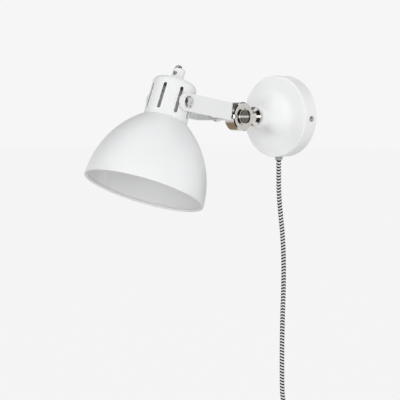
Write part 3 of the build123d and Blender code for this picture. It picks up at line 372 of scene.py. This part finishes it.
drop_route = [
    (0, -GLAND_OUT, GLAND_BOTTOM),
    (0, -GLAND_OUT, GLAND_BOTTOM - 20),
    (0.3, -11.7, GLAND_BOTTOM - 44),
    (1.9, -10.2, GLAND_BOTTOM - 68),
    (3.7, -8.2, GLAND_BOTTOM - 94),
    (4.6, -7.0, GLAND_BOTTOM - 124),
    (4.2, -6.6, GLAND_BOTTOM - 158),
    (3.0, -6.8, GLAND_BOTTOM - 192),
    (2.2, -6.8, GLAND_BOTTOM - 228),
    (1.7, -6.2, GLAND_BOTTOM - 266),
    (2.0, -5.4, GLAND_BOTTOM - 303),
    (11.5, COIL_BACK, GLAND_BOTTOM - 328),
    (29.0, COIL_BACK, GLAND_BOTTOM - 345.5),
]


def coil_route():
    """The coil's points: in on the wall side, a climb in half a turn, out in front, then down to the plug."""
    ray = Vector((math.cos(COIL_ENTRY), 0, math.sin(COIL_ENTRY)))
    heading = Vector((math.sin(COIL_ENTRY), 0, -math.cos(COIL_ENTRY)))
    entry = Vector(drop_route[-1]) + heading * (CORD_D / MM)
    centre = entry - ray * COIL_R
    half_pitch = COIL_PITCH / 2
    widen = 1 / math.cos(math.pi / (2 * HALF_TURN_STEPS))

    def at(middle, radius, turn, out):
        angle = COIL_ENTRY - turn
        reach = radius * widen
        return (middle.x + reach * math.cos(angle), out, middle.z + reach * math.sin(angle))

    points = []
    for k in range(COIL_HALF_TURNS):
        middle = centre - ray * (half_pitch if k % 2 else 0)
        first = (k % 2) * math.pi
        for step in range(HALF_TURN_STEPS):
            turn = first + step * math.pi / HALF_TURN_STEPS
            points.append(at(middle, COIL_R - k * half_pitch, turn, COIL_BACK))
    inner = COIL_R - COIL_HALF_TURNS * half_pitch
    for step in range(HALF_TURN_STEPS):
        share = step / HALF_TURN_STEPS
        rise = share * share * (3 - 2 * share)
        points.append(at(centre, inner, share * math.pi, COIL_BACK + (COIL_FRONT - COIL_BACK) * rise))
    for k in range(1, COIL_HALF_TURNS + 1):
        middle = centre + ray * (half_pitch if k % 2 else 0)
        first = (k % 2) * math.pi
        swept = math.pi if k < COIL_HALF_TURNS else COIL_ENTRY
        steps = round(HALF_TURN_STEPS * swept / math.pi)
        for step in range(steps):
            points.append(at(middle, inner + k * half_pitch, first + step * swept / steps, COIL_FRONT))
    end_x = centre.x + COIL_R
    points.append((end_x, COIL_FRONT, centre.z))
    points.append((end_x, COIL_FRONT, centre.z - PLUG_TAIL / 2))
    points.append((end_x, COIL_FRONT, centre.z - PLUG_TAIL))
    return points


def metres(points):
    return [Vector(p) * MM for p in points]


cord_line = smooth_line("cord_line", metres(drop_route + coil_route()))
cord = braided_tube("cord", cord_line, 0.0)
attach(cord, "wall_base")
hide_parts("cord_drop", "cord_coil")

# Lamp lead from the grip, over the back of the cup and into the fork; lengths in millimetres
PIVOT = Vector((0.0, -199.986, 16.731))
TILT = math.radians(22.5)
RISE = math.radians(8.3)
HINGE = Vector((0.0, -85.3, 0.0))


def head_point(x, y, z):
    """A place given from the shade's pivot, with z along the cup, in millimetres."""
    back = y * math.cos(TILT) + z * math.sin(TILT)
    return PIVOT + Vector((x, back, z * math.cos(TILT) - y * math.sin(TILT)))


def arm_point(x, y, z):
    """A place given from the elbow's hinge, with z along the arm, in millimetres."""
    back = y * math.sin(RISE) - z * math.cos(RISE)
    return HINGE + Vector((x, back, y * math.cos(RISE) + z * math.sin(RISE)))


ARM_LENGTH = 115.9
CUP_R = 25.5
WEB_FACE = 40.0
FORK_ROOM = ARM_LENGTH - CUP_R - WEB_FACE
LEAD_LOW = 11.5
LEAD_OVER = 44.1
LEAD_BEND = 14.0
LEAD_BACK = 31.7 * math.sqrt(0.5)  # 31.7 from the cup's axis, at its rear left
LEAD_STRAIGHT = 0.2  # share of the room in the fork that the lead crosses straight
LEAD_BAND = 0.5  # the braid starts in a light band's middle


def in_fork(x, y, share):
    """A place between the web and the cup."""
    return arm_point(x, y, WEB_FACE + share * FORK_ROOM)


lead_route = [
    head_point(0, 0, LEAD_LOW),
    head_point(0, 0, LEAD_OVER - LEAD_BEND),
    head_point(0, 0, LEAD_OVER),
    head_point(-16, 7.5, LEAD_OVER),
    head_point(-LEAD_BACK, LEAD_BACK, LEAD_OVER - LEAD_BEND),
    head_point(-LEAD_BACK, LEAD_BACK, 6),
    in_fork(-10, -3, 0.6),
    in_fork(-2.5, -1.5, 0.38),
    in_fork(0, 0, LEAD_STRAIGHT),
    in_fork(0, 0, 0),
]
lead_line = smooth_line("lead_line", metres(lead_route))
lead = braided_tube("lead", lead_line, LEAD_BAND)
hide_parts("lamp_lead")
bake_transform(lead)

# Finish of every solid that stays
FINISH = {
    "white_enamel": enamel,
    "bright_chrome": chrome,
    "dark_steel": dark_steel,
    "zinc_steel": zinc,
    "clear_grey_plastic": grey_plastic,
    "white_plastic": white_plastic,
    "black_plastic": black_plastic,
    "black_rubber": rubber,
    "brass": brass,
    "textile_braid": rubber,
    "wire_sheath": sheath,
}
OWN_FINISH = {"grip_screw": zinc}
for part in frame["record"]["subparts"]:
    solid = nodes[part["node"]]
    finish = OWN_FINISH.get(part["node"], FINISH[part["material_slot"]])
    solid.data.materials.clear()
    solid.data.materials.append(finish.material)


def second_finish(node, finish, chosen):
    """Another finish on those faces of a solid whose middle, in metres, is chosen."""
    solid = nodes[node]
    solid.data.materials.append(finish.material)
    for face in solid.data.polygons:
        if chosen(solid.matrix_world @ face.center):
            face.material_index = 1


# Paler steel in the slot of the elbow's screw as a painted highlight, insulated necks of the plug's pins, and
# dark grey inside the cup as painted shade
SLOT_REACH = 1.28 * MM  # half the slot's width, and a little more
HEAD_REACH = 8.0 * MM
HEAD_SEAT = 5.4 * MM
PIN_NECK_LOW = -535.9 * MM
CUP_IN_R = 24.75 * MM
CUP_IN_TOP = 19.0 * MM  # above the pivot, where the wall begins to round over


# Painted highlight: picks the faces of the elbow screw's slot, which get a paler steel
def in_slot_highlight(c):
    return abs(c.z) < SLOT_REACH and c.x > HEAD_SEAT and abs(c.y - HINGE.y * MM) < HEAD_REACH


def in_pin_neck(c):
    return c.z > PIN_NECK_LOW


def in_cup(c):
    off = c - PIVOT * MM
    up = Vector((0.0, math.sin(TILT), math.cos(TILT)))
    rise = off.dot(up)
    return (off - up * rise).length < CUP_IN_R and rise < CUP_IN_TOP


# Painted highlight: paler steel on the faces of the screw's slot
second_finish("knuckle_screw", pale_steel, in_slot_highlight)
second_finish("plug_pins", black_plastic, in_pin_neck)
# Painted shade: dark grey on the inner faces of the cup
second_finish("lamp_cup", cup_inside_shade, in_cup)

# Pivot screws with low domed heads on white seats; lengths in millimetres out from the lamp's middle plane
PIVOT_END = 19.5
PIVOT_R = 3.0
PIVOT_HEAD_R = 6.8
PIVOT_HEAD_IN = 28.2
PIVOT_DOME_IN = 30.7
PIVOT_DOME_OUT = 32.8
SEAT_RING = 2  # the band of faces between the plate and the dome
DOME_RINGS = 10
SCREW_SIDES = 48
SHARP_EDGE = math.radians(35.0)


def pivot_profile():
    """Distance outward and radius of every ring of a pivot screw, from its inner end to near its top."""
    dome_h = PIVOT_DOME_OUT - PIVOT_DOME_IN
    ball_r = (PIVOT_HEAD_R ** 2 + dome_h ** 2) / (2 * dome_h)
    profile = [(PIVOT_END, PIVOT_R), (PIVOT_HEAD_IN, PIVOT_R), (PIVOT_HEAD_IN, PIVOT_HEAD_R)]
    for i in range(DOME_RINGS):
        reach = PIVOT_HEAD_R * (1 - i / DOME_RINGS)
        profile.append((PIVOT_DOME_OUT - ball_r + math.sqrt(ball_r ** 2 - reach ** 2), reach))
    return profile


def domed_screws(name):
    """The screws at both sides, as one piece."""
    shape = bmesh.new()
    for side in (-1, 1):
        rings = []
        for out, reach in pivot_profile():
            ring = []
            for k in range(SCREW_SIDES):
                angle = 2 * math.pi * k / SCREW_SIDES
                place = PIVOT + Vector((side * out, reach * math.cos(angle), reach * math.sin(angle)))
                ring.append(shape.verts.new(place * MM))
            rings.append(ring)
        for i, (low, high) in enumerate(zip(rings, rings[1:])):
            for k in range(SCREW_SIDES):
                after = (k + 1) % SCREW_SIDES
                face = shape.faces.new((low[k], low[after], high[after], high[k]))
                face.smooth = True
                face.material_index = 1 if i == SEAT_RING else 0
        top = shape.verts.new((PIVOT + Vector((side * PIVOT_DOME_OUT, 0, 0))) * MM)
        for k in range(SCREW_SIDES):
            face = shape.faces.new((rings[-1][k], rings[-1][(k + 1) % SCREW_SIDES], top))
            face.smooth = True
        shape.faces.new(rings[0])
    bmesh.ops.recalc_face_normals(shape, faces=shape.faces)
    for edge in shape.edges:
        if edge.calc_face_angle() > SHARP_EDGE:
            edge.smooth = False
    mesh = bpy.data.meshes.new(name)
    shape.to_mesh(mesh)
    shape.free()
    mesh.materials.append(pale_steel.material)
    mesh.materials.append(enamel.material)
    screws = bpy.data.objects.new(name, mesh)
    scene.collection.objects.link(screws)
    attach(screws, "head")
    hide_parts("pivot_screws")


domed_screws("domed_pivot_screws")

# Finer copies of the wires that bend or twist where a joint turns
WIRE_STEP = 1.5 * MM  # longest edge


def bending_wires(name, node):
    """A finer copy of a pair of wires, which stands for the solid, with no edge longer than WIRE_STEP."""
    mesh = nodes[node].data.copy()
    grid = bmesh.new()
    grid.from_mesh(mesh)
    long_edges = list(grid.edges)
    while long_edges:
        bmesh.ops.subdivide_edges(grid, edges=long_edges, cuts=1)
        long_edges = [edge for edge in grid.edges if edge.calc_length() > WIRE_STEP]
    grid.to_mesh(mesh)
    grid.free()
    wires = bpy.data.objects.new(name, mesh)
    scene.collection.objects.link(wires)
    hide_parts(node)
    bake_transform(wires)


bending_wires(
    "elbow_wires", "knuckle_wires",
)
bending_wires(
    "cover_wires", "base_wires",
)

# Stage: pale floor, even background, soft lamps
PAPER = (0.922, 0.922, 0.922, 1.0)
FLOOR_TONE = (0.8, 0.8, 0.8, 1.0)
FLOOR_SIZE = (30.0, 30.0)
FLOOR_Z = cad_low.z - 0.02
FLOOR_EVEN = 0.96  # share of the even tone in what the camera sees
SKY_TONE = (0.97, 0.98, 1.0, 1.0)
SKY_STRENGTH = 0.68


def seen_share(tree, shows):
    """The share for rays of the camera, of reflections and of clear plastic, and 0 for all other rays."""
    path = tree.nodes.new("ShaderNodeLightPath")
    total = path.outputs["Is Camera Ray"]
    for kind in ("Is Glossy Ray", "Is Transmission Ray"):
        add = tree.nodes.new("ShaderNodeMath")
        add.operation = "ADD"
        tree.links.new(total, add.inputs[0])
        tree.links.new(path.outputs[kind], add.inputs[1])
        total = add.outputs[0]
    share = tree.nodes.new("ShaderNodeMath")
    share.operation = "MULTIPLY"
    share.use_clamp = True
    share.inputs[1].default_value = shows
    tree.links.new(total, share.inputs[0])
    return share.outputs[0]


def join_by_rays(tree, out, lit, seen, shows):
    """Two shaders as one surface: what lights the lamp, and what is seen."""
    mix = tree.nodes.new("ShaderNodeMixShader")
    tree.links.new(seen_share(tree, shows), mix.inputs[0])
    tree.links.new(lit.outputs[0], mix.inputs[1])
    tree.links.new(seen.outputs[0], mix.inputs[2])
    tree.links.new(mix.outputs[0], out.inputs["Surface"])


def floor_material():
    """Paper that the camera and reflections see as an even tone, mixed with its own shading."""
    material = bpy.data.materials.new("floor_paper")
    material.use_nodes = True
    tree = material.node_tree
    tree.nodes.clear()
    out = tree.nodes.new("ShaderNodeOutputMaterial")
    even = tree.nodes.new("ShaderNodeEmission")
    even.inputs["Color"].default_value = PAPER
    plain = tree.nodes.new("ShaderNodeBsdfDiffuse")
    plain.inputs["Color"].default_value = FLOOR_TONE
    join_by_rays(tree, out, plain, even, FLOOR_EVEN)
    return material


def stage_plane(name, size, location, material):
    half_x, half_y = size[0] / 2, size[1] / 2
    mesh = bpy.data.meshes.new(name)
    corners = [(-half_x, -half_y, 0), (half_x, -half_y, 0), (half_x, half_y, 0), (-half_x, half_y, 0)]
    mesh.from_pydata(corners, [], [(0, 1, 2, 3)])
    mesh.materials.append(material)
    plane = bpy.data.objects.new(name, mesh)
    plane.location = location
    scene.collection.objects.link(plane)
    return plane


stage_plane("floor", FLOOR_SIZE, (0, 0, FLOOR_Z), floor_material())

world = bpy.data.worlds.new("studio")
world.use_nodes = True
scene.world = world
sky = world.node_tree
sky.nodes.clear()
sky_out = sky.nodes.new("ShaderNodeOutputWorld")
sky_seen = sky.nodes.new("ShaderNodeBackground")
sky_seen.inputs["Color"].default_value = PAPER
sky_light = sky.nodes.new("ShaderNodeBackground")
sky_light.inputs["Color"].default_value = SKY_TONE
sky_light.inputs["Strength"].default_value = SKY_STRENGTH
join_by_rays(sky, sky_out, sky_light, sky_seen, 1.0)


def soft_lamp(name, location, aim, size, power, spread=180.0):
    """Area lamp that no reflection shows; metres, watts, degrees."""
    data = bpy.data.lights.new(name, "AREA")
    data.shape = "RECTANGLE"
    data.size, data.size_y = size
    data.energy = power
    data.spread = math.radians(spread)
    lamp = bpy.data.objects.new(name, data)
    lamp.location = location
    lamp.rotation_mode = "QUATERNION"
    lamp.rotation_quaternion = (Vector(aim) - Vector(location)).to_track_quat("-Z", "Y")
    lamp.visible_glossy = False
    scene.collection.objects.link(lamp)


MIDDLE = Vector((0.0, -0.15, 0.0))


def around_lamp(azimuth, elevation, distance):
    """A place given as seen from the lamp: degrees from -Y towards +X, degrees up, metres away."""
    a, e = math.radians(azimuth), math.radians(elevation)
    return MIDDLE + distance * Vector((math.sin(a) * math.cos(e), -math.cos(a) * math.cos(e), math.sin(e)))


soft_lamp("key", around_lamp(58, 12, 4.4), MIDDLE, (2.2, 2.2), 49.5)
soft_lamp("front", around_lamp(24, 6, 3.6), MIDDLE, (1.8, 1.8), 13.6)
soft_lamp("wall_left", (-1.082, -0.928, 0.751), (-0.032, -0.03, 0.026), (0.12, 0.12), 0.0122, 8.0)
soft_lamp("wall_right", (1.5, -0.42, 0.3), (0.0, -0.01, 0.0), (0.1, 0.1), 0.0033, 6.0)
soft_lamp("low", around_lamp(30, -12, 1.9), (0.0, -0.25, -0.03), (0.9, 0.35), 3.1)


# Cards with soft edges that only reflections see: dark and dim parts of the studio, a lit card and a window
def card_material(name, tone, half, fade):
    """Even glow that fades out towards the card's edges."""
    m = Nodes(name)
    tree = m.tree
    glow = m.add("ShaderNodeEmission")
    glow.inputs["Color"].default_value = (*tone, 1.0)
    clear = m.add("ShaderNodeBsdfTransparent")
    split = m.add("ShaderNodeSeparateXYZ")
    m.link(m.place(), split.inputs["Vector"])
    shares = []
    for socket, reach in zip(("X", "Y"), half):
        inside = m.math("SUBTRACT", reach, m.math("ABSOLUTE", split.outputs[socket]))
        shares.append(m.spread(inside, 0.0, 1.0, 0.0, fade))
    mixed = m.add("ShaderNodeMixShader")
    m.link(m.math("MULTIPLY", *shares), mixed.inputs[0])
    m.link(clear.outputs[0], mixed.inputs[1])
    m.link(glow.outputs[0], mixed.inputs[2])
    m.link(mixed.outputs[0], tree.nodes["Material Output"].inputs["Surface"])
    tree.nodes.remove(m.shader)
    return m.material


def card(name, azimuth, elevation, distance, size, tone, fade):
    """Card that faces the lamp; its tone is a grey or a colour, its fade is in metres."""
    half = (size[0] / 2, size[1] / 2)
    place = around_lamp(azimuth, elevation, distance)
    if isinstance(tone, float):
        tone = (tone, tone, tone)
    plane = stage_plane(name, size, place, card_material(name, tone, half, fade))
    plane.rotation_mode = "QUATERNION"
    plane.rotation_quaternion = (MIDDLE - place).to_track_quat("Z", "Y")
    plane.visible_camera = False
    plane.visible_diffuse = False
    plane.visible_shadow = False


card("dark_front", 66, 30, 5.2, (8.4, 9.4), 0.015, 0.5)
card("dark_floor", 58, -15, 2.0, (3.2, 1.0), 0.02, 0.3)
card("dark_near", 55, -43, 0.52, (0.9, 0.62), 0.03, 0.1)
card("glint", 50, 0, 2.0, (0.4, 0.9), 1.9, 0.08)
card("dim_right", 140, -10, 2.6, (2.6, 2.0), 0.33, 0.5)
card("grey_right", 136, 2, 2.3, (1.2, 1.0), 0.80, 0.4)
card("dark_wall", 188, 2, 2.2, (1.6, 1.8), 0.03, 0.3)
card("dark_high", 165, 44, 2.0, (2.4, 1.5), 0.12, 0.5)
card("dark_low", 165, -34, 0.9, (1.4, 0.6), 0.12, 0.25)
card("dark_left", -48, 8, 2.6, (1.8, 2.4), 0.01, 0.35)
card("window", -46.4, -1.1, 0.514, (0.07, 0.10), 1.5, 0.02)
card("dim_high", -100, 42, 1.6, (2.2, 2.0), 0.14, 0.5)
card("dim_back", -135, 6, 2.4, (1.8, 0.9), 0.3, 0.4)
card("warm_low", -92, -44, 0.72, (1.1, 0.85), (0.30, 0.235, 0.165), 0.25)
